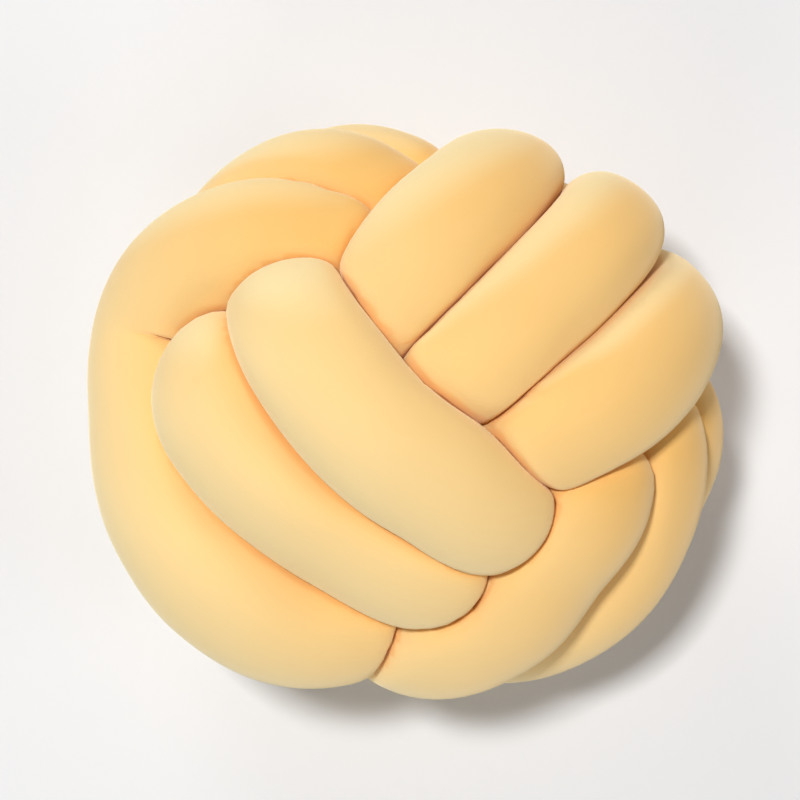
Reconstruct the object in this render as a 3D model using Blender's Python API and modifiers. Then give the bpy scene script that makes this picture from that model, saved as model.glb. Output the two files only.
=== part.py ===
"""Knot cushion: one long stuffed tube tied into a ball, three turns each way round.

The tube is tied as a ball knot. Three turns go round the ball one way (set A), three turns
round them the second way (set B) and three turns the third way (set C), so that each of the
six sides of the ball shows three strands side by side. Both ends are tucked inside.

The solid is the whole ball in one body: the strands at their full round section, with the
valleys between them, filled inside, and a small flat spot underneath. Metres, +Z up. The
origin is under the middle of the ball, on the surface that it rests on.
"""

from collections import namedtuple
from math import cos, radians, sin

import bmesh
import bpy
import numpy as np
from mathutils import Matrix

# The ball.
WIDTH = 0.288  # along X
DEPTH = 0.259  # along Y
HEIGHT = 0.250  # along Z, above the flat spot
FLAT_DEPTH = 0.012  # how much of the round form the flat spot takes away

# The strand, in the round ball that the knot is tied as, before it is pressed out of round.
STRAND_RADIUS = 0.030
CORE_RADIUS = 0.092  # the filling that closes the middle of the ball

# How the knot's own axes stand. Axis W lies level, and axis U leans back from straight up.
W_AZIMUTH = 134.0
U_LEAN = 34.0

# The facets of the solid.
TUBE_STEPS = 7  # points between two tying points
TUBE_SIDES = 6  # bevel resolution: 16 sides
VOXEL = 0.005
SMOOTH_TURNS = 3
KEEP_FACES = 0.29  # the share of the voxel mesh's faces that is kept

CLOTH_COLOUR = (0.93, 0.62, 0.25, 1.0)
CLOTH_ROUGHNESS = 0.9

# The knot is tied on three axes, U, V and W. Each set of turns has a long axis, which its
# strands cross at the outside, a short axis, which they run along there, and a stack axis,
# on which they lie side by side. The numbers are places in (U, V, W).
AXES = {"A": (0, 2, 1), "B": (2, 1, 0), "C": (1, 0, 2)}

MM = 0.001
RUN = 34 * MM  # from the middle of an outer pass to the point where it starts to turn in
RUN_REACH = 0.90  # how far out that point is, as a share of the reach of the pass
DIP = 70 * MM  # how far out along the long axis an inner pass starts and ends
SIDE_DEPTH = 47 * MM  # from the middle of the ball to an inner pass, at the sides of a set
MIDDLE_DEPTH = 56 * MM  # the same for the middle turn, which has the others' strands inside it
DIP_RISE = 7 * MM  # how much farther out its two ends are
DIP_STACK = 0.8  # how close together the strands are there, as a share of the stack
MIDDLE_STACK = 0.45  # the same in the middle of an inner pass
SIDE_STACK = 50 * MM  # how far a side turn is from the middle one
SKEW_CARRY = 1.6  # how much more a pass is skewed where the inner pass starts

# Each row is one outer pass, where the strand shows: its set, the side of the long axis it
# is on and the way it runs along the short axis. Then, in millimetres: its place in the stack,
# how much its ends are skewed there, how far its middle is moved along the short axis, and
# its reach from the ball's middle.
Pass = namedtuple("Pass", "set side way stack skew shift reach")
PASSES = [
    Pass("A", -1, -1, 48, 0, 0, 106),
    Pass("A", +1, +1, 48, 2, 12, 105),
    Pass("A", -1, -1, -7, 0, 0, 107),
    Pass("A", +1, +1, 0, 4, 22, 105),
    Pass("A", -1, -1, -66, 0, 0, 106),
    Pass("A", +1, +1, -62, 4, -2, 106),
    Pass("B", +1, +1, 42, -4, 6, 106),
    Pass("B", -1, -1, 55, -4, -14, 92),
    Pass("B", +1, +1, 5, 0, 26, 107),
    Pass("B", -1, -1, 8, -8, -16, 114),
    Pass("B", +1, +1, -44, 0, 8, 104),
    Pass("B", -1, -1, -50, 0, -16, 102),
    Pass("C", -1, +1, -50, 0, 0, 106),
    Pass("C", +1, -1, -40, -6, 0, 105),
    Pass("C", -1, +1, 0, 0, 0, 106),
    Pass("C", +1, -1, 4, -4, -6, 116),
    Pass("C", -1, +1, 50, 0, 0, 106),
    Pass("C", +1, -1, 48, 0, -2, 103),
]

# Where the strand goes between two sets and where its ends are tucked, in (U, V, W).
FIRST_END = [(20, 20, 30), (-60, 40, 45)]
BETWEEN = {"A": (66, -38, 75), "B": (-40, -76, -68)}
LAST_END = [(-55, 55, 40), (-35, -15, 25)]


def clear_scene():
    """Empties the scene of whatever Blender started with."""
    for obj in list(bpy.data.objects):
        bpy.data.objects.remove(obj, do_unlink=True)


def local_point(name, along_long, along_short, along_stack):
    """A point of the set, from its own axes to (U, V, W)."""
    point = [0.0, 0.0, 0.0]
    for axis, value in zip(AXES[name], (along_long, along_short, along_stack)):
        point[axis] = value
    return point


def outer_pass(row):
    """The three tying points of one outer pass."""
    points = []
    for step in (-1, 0, 1):
        reach = row.side * row.reach * MM * (RUN_REACH if step else 1.0)
        stack = (row.stack + step * row.way * row.skew) * MM
        along = step * row.way * RUN + row.shift * MM
        points.append(local_point(row.set, reach, along, stack))
    return points


def inner_pass(row, following):
    """The three tying points between one outer pass and the next one of its set."""
    start = (row.stack + SKEW_CARRY * row.way * row.skew) * MM
    end = (following.stack - SKEW_CARRY * following.way * following.skew) * MM
    sideways = min(1.0, (abs(start) + abs(end)) / 2 / SIDE_STACK)
    depth = MIDDLE_DEPTH + (SIDE_DEPTH - MIDDLE_DEPTH) * sideways
    rise = depth + DIP_RISE
    middle = (start + end) / 2 * MIDDLE_STACK
    return [
        local_point(row.set, row.side * DIP, row.way * rise, start * DIP_STACK),
        local_point(row.set, 0.0, row.way * depth, middle),
        local_point(row.set, -row.side * DIP, row.way * rise, end * DIP_STACK),
    ]


def tying_points():
    """Every point that the strand is led through, from one end to the other."""
    points = list(np.array(FIRST_END) * MM)
    for row, following in zip(PASSES, PASSES[1:] + [None]):
        points += outer_pass(row)
        if following and following.set == row.set:
            points += inner_pass(row, following)
        elif following:
            points.append(np.array(BETWEEN[row.set]) * MM)
    points += list(np.array(LAST_END) * MM)
    return np.array(points)


def smooth_route(points, steps):
    """A centripetal Catmull-Rom curve through the points."""
    padded = np.vstack([2 * points[0] - points[1], points, 2 * points[-1] - points[-2]])
    route = []
    for first in range(len(points) - 1):
        p0, p1, p2, p3 = padded[first : first + 4]
        k1 = np.linalg.norm(p1 - p0) ** 0.5
        k2 = k1 + np.linalg.norm(p2 - p1) ** 0.5
        k3 = k2 + np.linalg.norm(p3 - p2) ** 0.5
        t = np.linspace(k1, k2, steps, endpoint=False)[:, None]
        a1 = (k1 - t) / k1 * p0 + t / k1 * p1
        a2 = (k2 - t) / (k2 - k1) * p1 + (t - k1) / (k2 - k1) * p2
        a3 = (k3 - t) / (k3 - k2) * p2 + (t - k2) / (k3 - k2) * p3
        b1 = (k2 - t) / k2 * a1 + t / k2 * a2
        b2 = (k3 - t) / (k3 - k1) * a2 + (t - k1) / (k3 - k1) * a3
        route.append((k2 - t) / (k2 - k1) * b1 + (t - k1) / (k2 - k1) * b2)
    route.append(points[-1:])
    return np.vstack(route)


def knot_rotation():
    """The directions of U, V and W, as the columns of a matrix."""
    azimuth, lean = radians(W_AZIMUTH), radians(U_LEAN)
    w = np.array([cos(azimuth), sin(azimuth), 0.0])
    level = np.array([sin(azimuth), -cos(azimuth), 0.0])
    up = np.array([0.0, 0.0, 1.0])
    u = cos(lean) * up - sin(lean) * level
    v = sin(lean) * up + cos(lean) * level
    return np.stack([u, v, w], axis=1)


def mesh_of(obj):
    """A mesh object with the shape that the object has after its modifiers. It takes its place."""
    bpy.context.view_layer.update()
    evaluated = obj.evaluated_get(bpy.context.evaluated_depsgraph_get())
    mesh = bpy.data.meshes.new_from_object(evaluated)
    made = bpy.data.objects.new(obj.name + "_mesh", mesh)
    made.matrix_world = obj.matrix_world
    bpy.data.objects.remove(obj, do_unlink=True)
    bpy.context.scene.collection.objects.link(made)
    return made


def make_strand(route):
    """The tube along the route, closed at both ends."""
    curve = bpy.data.curves.new("strand", "CURVE")
    curve.dimensions = "3D"
    curve.bevel_depth = STRAND_RADIUS
    curve.bevel_resolution = TUBE_SIDES
    curve.use_fill_caps = True
    spline = curve.splines.new("POLY")
    spline.points.add(len(route) - 1)
    for point, place in zip(spline.points, route):
        point.co = (*place, 1.0)
    strand = bpy.data.objects.new("strand", curve)
    bpy.context.scene.collection.objects.link(strand)
    strand = mesh_of(strand)
    work = bmesh.new()
    work.from_mesh(strand.data)
    bmesh.ops.remove_doubles(work, verts=work.verts, dist=0.00001)
    bmesh.ops.create_icosphere(work, subdivisions=3, radius=CORE_RADIUS)
    work.to_mesh(strand.data)
    work.free()
    return strand


def press_together(strand):
    """Makes the overlapping turns and the filling one outer surface, and brings it to its size."""
    remesh = strand.modifiers.new("one_surface", "REMESH")
    remesh.mode = "VOXEL"
    remesh.voxel_size = VOXEL
    soften = strand.modifiers.new("soften", "SMOOTH")
    soften.iterations = SMOOTH_TURNS
    ball = mesh_of(strand)
    ball.data.transform(Matrix(knot_rotation().tolist()).to_4x4())
    corners = np.array([vertex.co for vertex in ball.data.vertices])
    low, high = corners.min(axis=0), corners.max(axis=0)
    full_height = HEIGHT + FLAT_DEPTH
    to_size = Matrix.Diagonal((*((WIDTH, DEPTH, full_height) / (high - low)), 1.0))
    to_place = Matrix.Translation((0.0, 0.0, full_height / 2 - FLAT_DEPTH))
    ball.data.transform(to_place @ to_size @ Matrix.Translation((low + high) / -2))
    return ball


def cut_flat_spot(ball, cutters):
    """Takes away what is below the surface that the ball rests on."""
    bpy.ops.mesh.primitive_cube_add(size=1.0, location=(0, 0, -0.5 * WIDTH))
    cutter = bpy.context.object
    cutter.name = "below_the_floor"
    cutter.scale = (2 * WIDTH, 2 * WIDTH, WIDTH)
    cutter.display_type = "WIRE"
    cutter.hide_render = True
    for collection in list(cutter.users_collection):
        collection.objects.unlink(cutter)
    cutters.objects.link(cutter)
    cut = ball.modifiers.new("flat_spot", "BOOLEAN")
    cut.operation = "DIFFERENCE"
    cut.solver = "EXACT"
    cut.object = cutter


def cloth_material():
    material = bpy.data.materials.new("yellow_plush")
    material.use_nodes = True
    shader = material.node_tree.nodes["Principled BSDF"]
    shader.inputs["Base Color"].default_value = CLOTH_COLOUR
    shader.inputs["Roughness"].default_value = CLOTH_ROUGHNESS
    shader.inputs["Metallic"].default_value = 0.0
    return material


def main():
    clear_scene()
    parts = bpy.data.collections.new("knot_cushion")
    cutters = bpy.data.collections.new("cutters")
    for collection in (parts, cutters):
        bpy.context.scene.collection.children.link(collection)
    ball = press_together(make_strand(smooth_route(tying_points(), TUBE_STEPS)))
    ball.name = "knot_ball"
    fewer = ball.modifiers.new("fewer_facets", "DECIMATE")
    fewer.ratio = KEEP_FACES
    cut_flat_spot(ball, cutters)
    ball.data.shade_smooth()
    ball.data.materials.append(cloth_material())
    bpy.context.scene.collection.objects.unlink(ball)
    parts.objects.link(ball)


main()
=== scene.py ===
"""The looks of the knot cushion: one long stuffed plush tube, tied into a ball.

The tube is led along the knot's route, filled out until it meets its own neighbouring turns,
and given its puckers, its pile and its studio. Metres, +Z up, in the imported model's frame.
"""

from collections import namedtuple
from math import cos, radians, sin, tau
import bpy  # noqa: E402
import numpy as np  # noqa: E402
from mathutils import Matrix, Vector, noise  # noqa: E402
from mathutils.bvhtree import BVHTree  # noqa: E402


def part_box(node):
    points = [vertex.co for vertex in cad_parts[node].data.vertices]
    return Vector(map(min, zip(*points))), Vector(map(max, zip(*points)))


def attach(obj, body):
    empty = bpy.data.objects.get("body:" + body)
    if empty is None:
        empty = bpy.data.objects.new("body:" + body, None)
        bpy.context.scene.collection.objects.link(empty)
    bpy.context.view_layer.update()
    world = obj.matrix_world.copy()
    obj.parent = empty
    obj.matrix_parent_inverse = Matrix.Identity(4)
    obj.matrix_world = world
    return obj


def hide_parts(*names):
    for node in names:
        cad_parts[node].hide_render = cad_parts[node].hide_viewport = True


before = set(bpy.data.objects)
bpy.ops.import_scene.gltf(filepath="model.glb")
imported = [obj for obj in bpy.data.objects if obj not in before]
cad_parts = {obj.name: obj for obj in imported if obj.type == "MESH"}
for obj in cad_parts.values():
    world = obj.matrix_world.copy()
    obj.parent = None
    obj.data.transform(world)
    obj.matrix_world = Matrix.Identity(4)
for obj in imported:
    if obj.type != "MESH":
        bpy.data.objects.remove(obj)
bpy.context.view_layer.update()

MM = 0.001
TINY = 1e-6  # keeps a division from meeting zero

# ---------------------------------------------------------------------------------------
# The knot's route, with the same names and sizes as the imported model's source.
# ---------------------------------------------------------------------------------------

NODE = "knot_ball"
FLAT_DEPTH = 0.012  # how much of the round form the flat spot takes away
STRAND_RADIUS = 0.030

# How the knot's own axes stand, in degrees. W lies level, and U leans back from straight up.
W_AZIMUTH = 134.0
U_LEAN = 34.0

# Each set of turns has a long axis, which its strands cross at the outside, a short axis, which
# they run along there, and a stack axis, on which they lie side by side, as places in (U, V, W).
AXES = {"A": (0, 2, 1), "B": (2, 1, 0), "C": (1, 0, 2)}

RUN = 34 * MM  # from the middle of an outer pass to the point where it starts to turn in
RUN_REACH = 0.90  # how far out that point is, as a share of the reach of the pass
DIP = 70 * MM  # how far out along the long axis an inner pass starts and ends
SIDE_DEPTH = 47 * MM  # from the middle of the ball to an inner pass, at the sides of a set
MIDDLE_DEPTH = 56 * MM  # the same for the middle turn, which has the others' strands inside it
DIP_RISE = 7 * MM  # how much farther out its two ends are
DIP_STACK = 0.8  # how close together the strands are there, as a share of the stack
MIDDLE_STACK = 0.45  # the same in the middle of an inner pass
SIDE_STACK = 50 * MM  # how far a side turn is from the middle one
SKEW_CARRY = 1.6  # how much more a pass is skewed where the inner pass starts

# Each row is one outer pass, where the strand shows: its set, the side of the long axis it
# is on and the way it runs along the short axis. Then, in millimetres: its place in the stack,
# how much its ends are skewed there, how far it is moved along the short axis, and its reach
# from the ball's middle.
Pass = namedtuple("Pass", "set side way stack skew shift reach")
PASSES = [
    Pass("A", -1, -1, 48, 0, 0, 106),
    Pass("A", +1, +1, 48, 2, 12, 105),
    Pass("A", -1, -1, -7, 0, 0, 107),
    Pass("A", +1, +1, 0, 4, 22, 105),
    Pass("A", -1, -1, -66, 0, 0, 106),
    Pass("A", +1, +1, -62, 4, -2, 106),
    Pass("B", +1, +1, 42, -4, 6, 106),
    Pass("B", -1, -1, 55, -4, -14, 92),
    Pass("B", +1, +1, 5, 0, 26, 107),
    Pass("B", -1, -1, 8, -8, -16, 114),
    Pass("B", +1, +1, -44, 0, 8, 104),
    Pass("B", -1, -1, -50, 0, -16, 102),
    Pass("C", -1, +1, -50, 0, 0, 106),
    Pass("C", +1, -1, -40, -6, 0, 105),
    Pass("C", -1, +1, 0, 0, 0, 106),
    Pass("C", +1, -1, 4, -4, -6, 116),
    Pass("C", -1, +1, 50, 0, 0, 106),
    Pass("C", +1, -1, 48, 0, -2, 103),
]

# Where the tube starts, where it goes between two sets, and where it ends, in millimetres
# along (U, V, W).
FIRST_END = [(20, 20, 30), (-60, 40, 45)]
BETWEEN = {"A": (66, -38, 75), "B": (-40, -76, -68)}
LAST_END = [(-55, 55, 40), (-35, -15, 25)]
CURVE_STEPS = 16  # points between two tying points
RING_SPACING = 4 * MM
ROUTE_TURNS = 12  # times that the route is eased
EASING = 0.25  # of the step from a row to the rows beside it, taken each time


def local_point(name, along_long, along_short, along_stack):
    """A point of the set, from its own axes to (U, V, W)."""
    point = [0.0, 0.0, 0.0]
    for axis, value in zip(AXES[name], (along_long, along_short, along_stack)):
        point[axis] = value
    return point


def outer_pass(row):
    """The three tying points of one outer pass."""
    points = []
    for step in (-1, 0, 1):
        reach = row.side * row.reach * MM * (RUN_REACH if step else 1.0)
        stack = (row.stack + step * row.way * row.skew) * MM
        along = step * row.way * RUN + row.shift * MM
        points.append(local_point(row.set, reach, along, stack))
    return points


def inner_pass(row, following):
    """The three tying points between one outer pass and the next one of its set."""
    start = (row.stack + SKEW_CARRY * row.way * row.skew) * MM
    end = (following.stack - SKEW_CARRY * following.way * following.skew) * MM
    sideways = min(1.0, (abs(start) + abs(end)) / 2 / SIDE_STACK)
    depth = MIDDLE_DEPTH + (SIDE_DEPTH - MIDDLE_DEPTH) * sideways
    rise = depth + DIP_RISE
    middle = (start + end) / 2 * MIDDLE_STACK
    return [
        local_point(row.set, row.side * DIP, row.way * rise, start * DIP_STACK),
        local_point(row.set, 0.0, row.way * depth, middle),
        local_point(row.set, -row.side * DIP, row.way * rise, end * DIP_STACK),
    ]


def tying_points():
    """Every point that the strand is led through, from one end to the other."""
    points = list(np.array(FIRST_END) * MM)
    for row, following in zip(PASSES, PASSES[1:] + [None]):
        points += outer_pass(row)
        if following and following.set == row.set:
            points += inner_pass(row, following)
        elif following:
            points.append(np.array(BETWEEN[row.set]) * MM)
    points += list(np.array(LAST_END) * MM)
    return np.array(points)


def smooth_route(points, steps):
    """A centripetal Catmull-Rom curve through the points."""
    padded = np.vstack([2 * points[0] - points[1], points, 2 * points[-1] - points[-2]])
    route = []
    for first in range(len(points) - 1):
        p0, p1, p2, p3 = padded[first : first + 4]
        k1 = np.linalg.norm(p1 - p0) ** 0.5
        k2 = k1 + np.linalg.norm(p2 - p1) ** 0.5
        k3 = k2 + np.linalg.norm(p3 - p2) ** 0.5
        t = np.linspace(k1, k2, steps, endpoint=False)[:, None]
        a1 = (k1 - t) / k1 * p0 + t / k1 * p1
        a2 = (k2 - t) / (k2 - k1) * p1 + (t - k1) / (k2 - k1) * p2
        a3 = (k3 - t) / (k3 - k2) * p2 + (t - k2) / (k3 - k2) * p3
        b1 = (k2 - t) / k2 * a1 + t / k2 * a2
        b2 = (k3 - t) / (k3 - k1) * a2 + (t - k1) / (k3 - k1) * a3
        route.append((k2 - t) / (k2 - k1) * b1 + (t - k1) / (k2 - k1) * b2)
    route.append(points[-1:])
    return np.vstack(route)


def knot_rotation():
    """The directions of U, V and W, as the columns of a matrix."""
    azimuth, lean = radians(W_AZIMUTH), radians(U_LEAN)
    w = np.array([cos(azimuth), sin(azimuth), 0.0])
    level = np.array([sin(azimuth), -cos(azimuth), 0.0])
    up = np.array([0.0, 0.0, 1.0])
    u = cos(lean) * up - sin(lean) * level
    v = sin(lean) * up + cos(lean) * level
    return np.stack([u, v, w], axis=1)


def unit(vectors):
    return vectors / np.linalg.norm(vectors, axis=-1, keepdims=True)


def evenly(points, spacing):
    """The same curve, with a point about every spacing."""
    along = np.concatenate([[0.0], np.cumsum(np.linalg.norm(np.diff(points, axis=0), axis=1))])
    places = np.linspace(0.0, along[-1], round(along[-1] / spacing) + 1)
    return np.stack([np.interp(places, along, column) for column in points.T], axis=1)


def softened(rows, turns):
    """Rows of values with their sudden steps eased out, and the two end rows held."""
    rows = rows.copy()
    for _ in range(turns):
        rows[1:-1] += EASING * (rows[:-2] + rows[2:] - 2 * rows[1:-1])
    return rows


def strand_route():
    """The tube's centre line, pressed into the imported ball's box."""
    route = smooth_route(tying_points(), CURVE_STEPS) @ knot_rotation().T
    low, high = (np.array(corner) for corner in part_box(NODE))
    low[2] -= FLAT_DEPTH
    span = route.max(axis=0) - route.min(axis=0) + 2 * STRAND_RADIUS
    to_size = (high - low) / span
    middle = (route.max(axis=0) + route.min(axis=0)) / 2
    placed = (route - middle) * to_size + (high + low) / 2
    return softened(evenly(placed, RING_SPACING), ROUTE_TURNS)


# ---------------------------------------------------------------------------------------
# Filling the tube out between its neighbours.
# ---------------------------------------------------------------------------------------

SIDES = 48  # rays round the tube while it is filled out
GIRTH = tau * 28 * MM  # the length of cloth round the tube
WIDEST = 36 * MM  # no part of the tube's section is farther from its centre line
NEIGHBOURS_WITHIN = 2.2 * WIDEST  # from one centre line to another that can press on it
THINNEST = 0.5 * MM
OWN_STRETCH = 90 * MM  # the tube isn't pressed by its own length nearer than this
GAP = 0.4 * MM  # what is left between two turns that touch
BEND_ROOM = 0.85  # how far the inside of a bend may go, as a share of the bend's radius
SHARPEST = 5 * MM  # the tightest rounding that the stuffing gives the cloth
SLACKEST = 45 * MM  # and the widest
ALONG_PULL = 0.5  # the cloth's pull along the tube, as a share of its pull round it
PRESSURE_GAIN = 0.05  # how fast the pressure answers to the cloth's length
FILL_TURNS = 260
FILL_STEP = 0.3  # how far one turn goes, as a share of the square of the points' spacing
END_LENGTH = 26 * MM  # the rounded length at each tucked end
END_POINT = 0.0004  # the square of the share of its room that the tube has at its very ends
TURN_OUT = 0.12  # how fast the first ray turns to face out of the ball, a share each ring


def ring_directions(route):
    """The way ahead at each point of the route and the rays round it, the first one facing out."""
    forward = unit(np.gradient(route, axis=0))
    outward = unit(route - ball_middle())
    across = np.empty_like(route)
    guide = outward[0]
    for place, ahead in enumerate(forward):
        guide = guide + TURN_OUT * outward[place]
        guide = unit(guide - ahead * (guide @ ahead))
        across[place] = guide
    beside = np.cross(forward, across)
    angles = np.arange(SIDES) * tau / SIDES
    rays = across[:, None] * np.cos(angles)[:, None] + beside[:, None] * np.sin(angles)[:, None]
    return forward, rays


def room_round(route, forward, rays):
    """How far each ray can go before another turn, the floor or the inside of the bend."""
    spacing = np.linalg.norm(np.diff(route, axis=0), axis=1).mean()
    along = np.arange(len(route)) * spacing
    room = np.full(rays.shape[:2], WIDEST)
    for place, centre in enumerate(route):
        to_others = route - centre
        squares = (to_others**2).sum(axis=1)
        others = (abs(along - along[place]) > OWN_STRETCH) & (squares < NEIGHBOURS_WITHIN**2)
        if others.any():
            leaning = np.maximum(rays[place] @ to_others[others].T, TINY)
            halfway = (squares[others] / leaning).min(axis=1) / 2 - GAP / 2
            room[place] = np.minimum(halfway, WIDEST)
    down = np.maximum(-rays[:, :, 2], TINY)
    room = np.minimum(room, route[:, 2:3] / down)
    bend = np.gradient(forward, axis=0) / spacing
    inwards = (rays * bend[:, None]).sum(axis=2)
    room = np.minimum(room, BEND_ROOM / np.maximum(inwards, TINY))
    from_end = np.minimum(along, along[::-1]) / END_LENGTH
    rounding = np.sqrt(np.clip(1 - (1 - np.minimum(from_end, 1)) ** 2, END_POINT, 1))
    return np.maximum(room * rounding[:, None], THINNEST), spacing


def fill_out(room, spacing):
    """The tube's radius along each ray: cloth of a set girth under even pressure, in its room."""
    radius = np.minimum(room, GIRTH / tau)
    pressure = np.full((len(room), 1), tau / GIRTH)
    turn = tau / SIDES
    for _ in range(FILL_TURNS):
        before, after = np.roll(radius, 1, axis=1), np.roll(radius, -1, axis=1)
        slope = (after - before) / (2 * turn)
        second = (after + before - 2 * radius) / turn**2
        size = radius**2 + slope**2
        roundness = (size + slope**2 - radius * second) / size**1.5
        hollow = np.zeros_like(radius)
        hollow[1:-1] = (radius[2:] + radius[:-2] - 2 * radius[1:-1]) / spacing**2
        girth = np.sqrt(size).sum(axis=1, keepdims=True) * turn
        pressure *= 1 + PRESSURE_GAIN * (GIRTH - girth) / GIRTH
        pressure = np.clip(pressure, 1 / SLACKEST, 1 / SHARPEST)
        pace = FILL_STEP * np.minimum(size * turn**2, spacing**2)
        push = pressure - roundness + ALONG_PULL * hollow
        radius = np.minimum(radius + pace * push * np.sqrt(size) / radius, room)
    return radius


# ---------------------------------------------------------------------------------------
# The fine surface: rings close together where the tube shows, soft lumps and puckers.
# ---------------------------------------------------------------------------------------

FINE_SPACING = 2.4 * MM  # between two rings where the tube shows
HIDDEN_SPACING = 9 * MM  # the same, deep inside the ball
SHOWS_FROM = 82 * MM  # how far from the ball's middle the tube's centre line is where it shows
HIDDEN_BELOW = 66 * MM
FINE_SIDES = 60
CROWDING = 0.45  # how much the points round the tube crowd to its outer side
FARTHEST_APART = 14 * MM  # how far off its neighbour the cloth has nothing of a crease
OFF_SURFACE = 0.05 * MM

# The cloth's paleness: its own level, then painted sheen by the way the tube runs and faces, and a
# painted highlight on the side facing the lamps.
NAP_LEVEL = 0.5  # how pale the pile looks, from 0 for golden to 1 for cream
PAINTED_SHEEN_ALONG_W = 0.2  # painted sheen: how much paler where the tube runs along W, the way that the pile lies flat
PAINTED_SHEEN_TURNED = (-0.2, -0.2, -0.3)  # painted sheen and shade: in (X, Y, Z), how much paler where the cloth faces each
PAINTED_LIGHT_SIDE = (-0.25, 1.0, 0.30)  # painted highlight: the way that the cloth faces where it is painted paler, as if lit from there
PAINTED_LIGHT_FROM = 0.65  # the cosine, off that way, at which the cloth starts to look paler
PAINTED_LIGHT_PALER = 0.5

LUMP_SIZE = 34 * MM
LUMP_HEIGHT = 0.7 * MM
PUCKER_SPACING = 12 * MM
PUCKER_REACH = 3 * MM  # how far off the next turn the cloth is still in the crease
PUCKER_SIDES = 4  # how many points round the tube a fold reaches out of the crease
PUCKER_DEPTH = 1.3 * MM
PUCKER_SHARPNESS = 5
PUCKER_BEND = 4.0  # 1/m, how tight the inside of a bend is where the cloth starts to pucker
STRAY = 1.5  # how far the folds stray from an even spacing, in spacings
STRAY_OVER = 4 * PUCKER_SPACING  # the length along the tube over which that changes
USUAL_FOLD = 0.8  # how strong a fold is, from 0 to 1
FOLD_CHANGE = 1.5  # how much the noise makes a fold stronger or weaker
CHANGE_OVER = 2 * PUCKER_SPACING  # the length along the tube over which that changes
CHANGE_ROW = 7.0  # a row of the noise that is clear of the row for the straying


def ball_middle():
    low, high = (np.array(corner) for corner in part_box(NODE))
    return (low + high) / 2


def eased(share):
    """Soft steps from 0 to 1."""
    share = np.clip(share, 0.0, 1.0)
    return share * share * (3 - 2 * share)


def between(rows, places):
    """The rows read at places between them, on a smooth curve through the rows."""
    first = np.clip(places.astype(int), 0, len(rows) - 2)
    t = (places - first).reshape(-1, *[1] * (rows.ndim - 1))
    p0, p1, p2, p3 = (rows[np.clip(first + step, 0, len(rows) - 1)] for step in (-1, 0, 1, 2))
    curve = 2 * p0 - 5 * p1 + 4 * p2 - p3 + t * (3 * p1 - p0 - 3 * p2 + p3)
    return p1 + 0.5 * t * (p2 - p0 + t * curve)


def ring_places(route, spacing):
    """Where the fine rings are along the route, counted in its own rings."""
    out = np.linalg.norm(route - ball_middle(), axis=1)
    hidden = eased((SHOWS_FROM - out) / (SHOWS_FROM - HIDDEN_BELOW))
    pace = FINE_SPACING + (HIDDEN_SPACING - FINE_SPACING) * hidden
    count = np.concatenate([[0.0], np.cumsum(spacing / pace[1:])])
    wanted = np.linspace(0.0, count[-1], round(count[-1]) + 1)
    return np.interp(wanted, count, np.arange(len(route)))


def side_places():
    """Where the fine points are round the tube, counted in rays, crowded to the outer side."""
    angles = np.arange(FINE_SIDES) * tau / FINE_SIDES
    angles = angles - CROWDING * np.sin(angles)
    return angles / tau * SIDES


def finer(grid, rings, sides):
    """A grid of values on rings and rays, read at the fine rings and points."""
    along = between(grid, rings)
    wrapped = np.concatenate([along[:, -2:], along, along[:, :3]], axis=1)
    return between(wrapped.swapaxes(0, 1), sides + 2).swapaxes(0, 1)


def outward_normals(points):
    ahead = np.gradient(points, axis=0)
    around = np.roll(points, -1, axis=1) - np.roll(points, 1, axis=1)
    return unit(np.cross(around, ahead))


def lumps(points):
    """Soft unevenness of the stuffing, from -1 to 1."""
    flat = points.reshape(-1, 3) / LUMP_SIZE
    return np.array([noise.noise(point) for point in flat.tolist()]).reshape(points.shape[:2])


def sideways_bend(route, forward, rays, spacing):
    """How tightly the tube bends towards each ray, in 1/m, apart from its bend round the ball."""
    bend = np.gradient(forward, axis=0) / spacing
    outward = unit(route - ball_middle())
    bend -= outward * (bend * outward).sum(axis=1, keepdims=True)
    return (rays * bend[:, None]).sum(axis=2)


def beside_crease(apart):
    """From 1 in a crease to 0 a few points round the tube from it."""
    crease = 1 - eased(apart / PUCKER_REACH)
    beside = crease
    for step in range(1, PUCKER_SIDES):
        nearest = np.maximum(np.roll(crease, step, axis=1), np.roll(crease, -step, axis=1))
        beside = np.maximum(beside, nearest * (1 - step / PUCKER_SIDES))
    return beside


def puckers(along, apart, inwards):
    """Short folds out of a crease, across the inside of a bend, from 0 to 1."""
    drift = np.array([noise.noise((place / STRAY_OVER, 0.0, 0.0)) for place in along])
    strong = np.array([noise.noise((place / CHANGE_OVER, CHANGE_ROW, 0.0)) for place in along])
    wave = 0.5 + 0.5 * np.cos(tau * (along / PUCKER_SPACING + STRAY * drift))
    fold = wave**PUCKER_SHARPNESS * eased(USUAL_FOLD + FOLD_CHANGE * strong)
    return fold[:, None] * beside_crease(apart) * eased(inwards / PUCKER_BEND - 1)


def to_box(points):
    """The points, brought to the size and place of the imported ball."""
    low, high = (np.array(corner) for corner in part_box(NODE))
    lowest, highest = points.min(axis=(0, 1)), points.max(axis=(0, 1))
    return low + (points - lowest) * (high - low) / (highest - lowest)


def tone_and_painted_light_of(forward, rings, normals):
    """How pale the cloth is painted at each point: its own level, with painted sheen from the ways
    that the tube runs and the cloth faces, and a painted highlight on one side.
    """
    along = between(forward @ knot_rotation()[:, 2], rings)[:, None]
    facing = np.concatenate([normals[:, :, :2], np.maximum(normals[:, :, 2:], 0.0)], axis=2)
    painted_light = normals @ unit(np.array(PAINTED_LIGHT_SIDE))
    painted_light = eased((painted_light - PAINTED_LIGHT_FROM) / (1 - PAINTED_LIGHT_FROM))
    painted_sheen = facing @ np.array(PAINTED_SHEEN_TURNED)
    return NAP_LEVEL + PAINTED_SHEEN_ALONG_W * along + painted_sheen + PAINTED_LIGHT_PALER * painted_light


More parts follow.
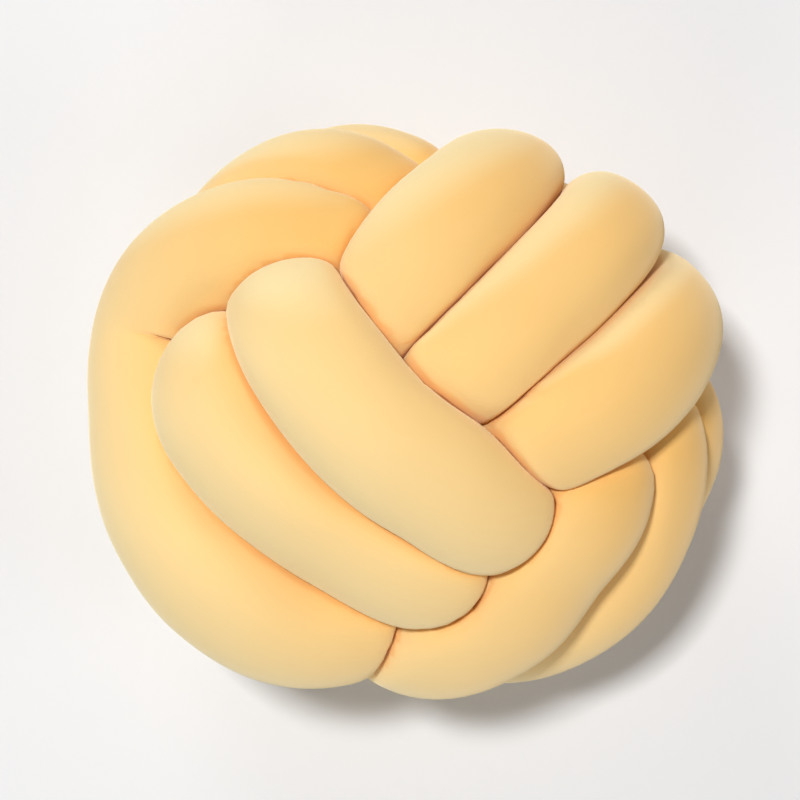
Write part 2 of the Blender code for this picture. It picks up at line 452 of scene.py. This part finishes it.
def tube_faces(rings, sides):
    """The faces of a tube through rings of points, with its two ends closed by fans."""
    ring, side = np.meshgrid(np.arange(rings - 1), np.arange(sides), indexing="ij")
    here, there = ring * sides + side, ring * sides + (side + 1) % sides
    quads = np.stack([here, there, there + sides, here + sides], axis=2).reshape(-1, 4)
    first, last = rings * sides, rings * sides + 1
    faces = quads.tolist()
    for side in range(sides):
        following = (side + 1) % sides
        faces.append((first, following, side))
        faces.append((last, (rings - 1) * sides + side, (rings - 1) * sides + following))
    return faces


def tube_corners(points):
    return np.vstack([points.reshape(-1, 3), points[0].mean(axis=0), points[-1].mean(axis=0)]).tolist()


def tube_mesh(name, points, held):
    """A closed tube through rings of points, with each named value of held at its points."""
    mesh = bpy.data.meshes.new(name)
    mesh.from_pydata(tube_corners(points), [], tube_faces(*points.shape[:2]))
    mesh.shade_smooth()
    for title, values in held.items():
        at_ends = values[0, 0], values[-1, 0]
        numbers = np.append(values.ravel(), at_ends).astype(np.float32)
        mesh.attributes.new(title, "FLOAT", "POINT").data.foreach_set("value", numbers)
    made = bpy.data.objects.new(name, mesh)
    bpy.context.scene.collection.objects.link(made)
    return made


def apart_from_next(points):
    """How far the cloth is, straight off its surface, from the turn that it faces."""
    ball = BVHTree.FromPolygons(tube_corners(points), tube_faces(*points.shape[:2]))
    normals = outward_normals(points)
    starts = points + normals * OFF_SURFACE
    apart = []
    for start, normal in zip(starts.reshape(-1, 3).tolist(), normals.reshape(-1, 3).tolist()):
        distance = ball.ray_cast(start, normal, FARTHEST_APART)[3]
        apart.append(FARTHEST_APART if distance is None else distance)
    return np.array(apart).reshape(points.shape[:2])


def make_tube():
    route = strand_route()
    forward, rays = ring_directions(route)
    room, spacing = room_round(route, forward, rays)
    radius = fill_out(room, spacing)
    rings, sides = ring_places(route, spacing), side_places()
    points = finer(route[:, None] + rays * radius[:, :, None], rings, sides)
    apart = apart_from_next(points)
    inwards = sideways_bend(route, forward, rays, spacing)
    folds = puckers(rings * spacing, apart, finer(inwards, rings, sides))
    offset = LUMP_HEIGHT * lumps(points) - PUCKER_DEPTH * folds
    points = to_box(points + outward_normals(points) * offset[:, :, None])
    tone_and_painted_light = tone_and_painted_light_of(forward, rings, outward_normals(points))
    held = {"apart": apart / MM, "fold": folds, "tone_and_painted_light": tone_and_painted_light}
    return tube_mesh("plush_tube", points, held)


# ---------------------------------------------------------------------------------------
# Finish.
# ---------------------------------------------------------------------------------------


class Value:
    """A socket that gives one number. Arithmetic on it adds the Math nodes."""

    def __init__(self, shader, socket):
        self.shader = shader
        self.socket = socket

    def with_other(self, operation, first, second):
        made = self.shader.node("ShaderNodeMath", {"operation": operation}, {0: first, 1: second})
        return Value(self.shader, made.outputs[0])

    def __add__(self, other):
        return self.with_other("ADD", self, other)

    def __sub__(self, other):
        return self.with_other("SUBTRACT", self, other)

    def __rsub__(self, other):
        return self.with_other("SUBTRACT", other, self)

    def __mul__(self, other):
        return self.with_other("MULTIPLY", self, other)

    __radd__ = __add__
    __rmul__ = __mul__


class Shader:
    """A material being made from nodes."""

    def __init__(self, name):
        self.material = bpy.data.materials.new(name)
        self.material.use_nodes = True
        self.tree = self.material.node_tree
        self.surface = self.tree.nodes["Principled BSDF"]

    def node(self, kind, settings=(), sockets=()):
        """A node of that type, with its settings made first and then its sockets."""
        made = self.tree.nodes.new(kind)
        for name, setting in dict(settings).items():
            setattr(made, name, setting)
        self.fill(made, sockets)
        return made

    def fill(self, node, sockets):
        for name, given in dict(sockets).items():
            if isinstance(given, Value):
                given = given.socket
            if isinstance(given, bpy.types.NodeSocket):
                self.tree.links.new(given, node.inputs[name])
            else:
                node.inputs[name].default_value = given

    def attribute(self, name):
        """A number that the mesh holds at each of its points."""
        made = self.node("ShaderNodeAttribute", {"attribute_name": name})
        return Value(self, made.outputs["Fac"])

    def eased(self, value, start, stop):
        """From 0 where the value is at start to 1 where it is at stop."""
        sockets = {"Value": value, "From Min": start, "From Max": stop}
        made = self.node("ShaderNodeMapRange", {"interpolation_type": "SMOOTHSTEP"}, sockets)
        return Value(self, made.outputs["Result"])

    def noise(self, where, scale, detail, roughness=0.5):
        """Noise with a grain of 1 / scale metres."""
        sockets = {"Vector": where, "Scale": scale, "Detail": detail, "Roughness": roughness}
        return Value(self, self.node("ShaderNodeTexNoise", (), sockets).outputs["Fac"])

    def mix(self, factor, first, second):
        """A colour between two colours."""
        made = self.node("ShaderNodeMix", {"data_type": "RGBA"}, {0: factor, 6: first, 7: second})
        return made.outputs[2]


GOLDEN = (0.91, 0.535, 0.165, 1.0)
CREAM = (0.98, 0.81, 0.44, 1.0)
# Painted shade: the cloth turns deeper orange, then dark brown, as it runs into the crease by the next
# turn, warmed as bounced light would warm it.
CREASE_ORANGE = (0.86, 0.42, 0.10, 1.0)
CREASE_BROWN = (0.45, 0.16, 0.03, 1.0)
CREASE_GLOW = (0.09, 0.026, 0.002, 1.0)  # painted glow in the crease lines, standing in for light that comes through the cloth there
UNLIT = (0.0, 0.0, 0.0, 1.0)
FLOOR_WHITE = (0.84, 0.84, 0.85, 1.0)

# Each pair is how far off the next turn, in millimetres, the painted shade starts and where it is
# full.
CREASE_SHADE = (9.0, 0.5)
CREASE_LINE = (1.1, 0.5)
CREASE_SHARE = 0.55  # how much of the crease's orange the shade takes on
FOLD_SHADE = 0.8  # how much of the painted shade a pucker takes on
FOLD_LINE = 0.5

# Each grain is in 1/m, and each detail is how many finer grains there are in it.
DRIFT_GRAIN, DRIFT_DETAIL = 14.0, 3.0
DRIFT_PALER = 0.2  # how much the cloth's paleness drifts
STROKE_GRAIN, STROKE_DETAIL = 90.0, 2.0
STROKE_SHARE = 0.3  # of the pile's height
PILE_GRAIN, PILE_DETAIL, PILE_ROUGHNESS = 900.0, 3.0, 0.6
PILE_SHARE = 0.7
PILE_STRENGTH = 0.25
PILE_HEIGHT = 0.0006


def plush_finish():
    """Short soft pile: matt, with painted sheen and a painted highlight that make it paler where it
    faces one way, and painted shade deeper in the creases.
    """
    shader = Shader("yellow_plush")
    where = shader.node("ShaderNodeTexCoord").outputs["Object"]
    apart = shader.attribute("apart")
    fold = shader.attribute("fold")
    deep_fold = fold * fold
    # Painted shade in the creases and the puckers, by how far the cloth is from the next turn.
    shade = shader.eased(apart, *CREASE_SHADE) + deep_fold * FOLD_SHADE
    shade_line = shader.eased(apart, *CREASE_LINE) + deep_fold * deep_fold * FOLD_LINE
    tone_and_painted_light = shader.attribute("tone_and_painted_light")
    drift = shader.noise(where, DRIFT_GRAIN, DRIFT_DETAIL)
    pile = shader.noise(where, PILE_GRAIN, PILE_DETAIL, PILE_ROUGHNESS)
    stroke = shader.noise(where, STROKE_GRAIN, STROKE_DETAIL)
    height = pile * PILE_SHARE + stroke * STROKE_SHARE
    # Golden to cream: the cloth's own drifting tone, with painted sheen and a painted highlight.
    open_cloth = shader.mix(tone_and_painted_light + (drift - 0.5) * DRIFT_PALER, GOLDEN, CREAM)
    shaded = shader.mix(shade * CREASE_SHARE, open_cloth, CREASE_ORANGE)
    colour = shader.mix(shade_line, shaded, CREASE_BROWN)
    raised = {"Strength": PILE_STRENGTH, "Distance": PILE_HEIGHT, "Height": height}
    bump = shader.node("ShaderNodeBump", (), raised)
    finish = {
        "Base Color": colour,
        "Roughness": 0.85,
        # a painted glow along the crease lines, though the cloth is no lamp
        "Emission Color": shader.mix(shade_line, UNLIT, CREASE_GLOW),
        "Emission Strength": 1.0,
        "Sheen Weight": 0.4,
        "Sheen Roughness": 0.5,
        "Sheen Tint": (1.0, 0.92, 0.72, 1.0),
        "Specular IOR Level": 0.2,
        "Normal": bump.outputs["Normal"],
    }
    shader.fill(shader.surface, finish)
    return shader.material


def floor_finish():
    shader = Shader("pale_floor")
    shader.fill(shader.surface, {"Base Color": FLOOR_WHITE, "Roughness": 0.9})
    return shader.material


# ---------------------------------------------------------------------------------------
# Studio.
# ---------------------------------------------------------------------------------------

VIEW_WIDTH = 0.360  # what the picture takes in, at the middle of the ball
PICTURE = 800  # pixels
BALL_AT = (407, 408)  # the pixel that the middle of the ball is at
CAMERA_DISTANCE = 1.2
SENSOR = 36.0
BALL_MIDDLE = 0.125  # above the floor
FLOOR_REACH = 3.0
FLOOR_DROP = 0.5 * MM  # keeps the floor and the flat spot from lying in one plane
SKY_COLOUR = (0.95, 0.97, 1.0, 1.0)
SKY_STRENGTH = 0.1

Light = namedtuple("Light", "name place size power")
LIGHTS = [
    Light("overhead", (-0.44, 0.44, 2.85), 0.3, 60.0),
    Light("behind", (-0.9, 2.5, 1.1), 1.0, 20.0),
    Light("before", (-0.6, -2.4, 1.3), 1.0, 15.0),
    Light("right", (2.4, -0.6, 1.3), 1.0, 12.0),
]


def make_camera():
    """Looks straight down on the ball."""
    data = bpy.data.cameras.new("camera")
    data.sensor_width = SENSOR
    data.lens = SENSOR * CAMERA_DISTANCE / VIEW_WIDTH
    camera = bpy.data.objects.new("camera", data)
    pixel = VIEW_WIDTH / PICTURE
    aside = (PICTURE / 2 - BALL_AT[0]) * pixel
    ahead = (BALL_AT[1] - PICTURE / 2) * pixel
    camera.location = (aside, ahead, BALL_MIDDLE + CAMERA_DISTANCE)
    bpy.context.scene.collection.objects.link(camera)
    bpy.context.scene.camera = camera


def make_light(row):
    """A square soft white light, turned to the middle of the ball."""
    data = bpy.data.lights.new(row.name, "AREA")
    data.size = row.size
    data.energy = row.power
    light = bpy.data.objects.new(row.name, data)
    light.location = row.place
    aim = Vector((0.0, 0.0, BALL_MIDDLE)) - light.location
    light.rotation_euler = aim.to_track_quat("-Z", "Y").to_euler()
    bpy.context.scene.collection.objects.link(light)


def make_floor():
    mesh = bpy.data.meshes.new("floor")
    corners = [(x * FLOOR_REACH, y * FLOOR_REACH, 0) for x, y in ((-1, -1), (1, -1), (1, 1), (-1, 1))]
    mesh.from_pydata(corners, [], [(0, 1, 2, 3)])
    floor = bpy.data.objects.new("floor", mesh)
    floor.location.z = -FLOOR_DROP
    floor.data.materials.append(floor_finish())
    bpy.context.scene.collection.objects.link(floor)


def make_studio():
    make_floor()
    for row in LIGHTS:
        make_light(row)
    world = bpy.data.worlds.new("studio")
    world.use_nodes = True
    sky = world.node_tree.nodes["Background"].inputs
    sky["Color"].default_value = SKY_COLOUR
    sky["Strength"].default_value = SKY_STRENGTH
    bpy.context.scene.world = world
    bpy.context.scene.view_settings.view_transform = "Standard"


make_camera()
make_studio()
tube = make_tube()
tube.data.materials.append(plush_finish())
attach(tube, "root")
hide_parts(NODE)
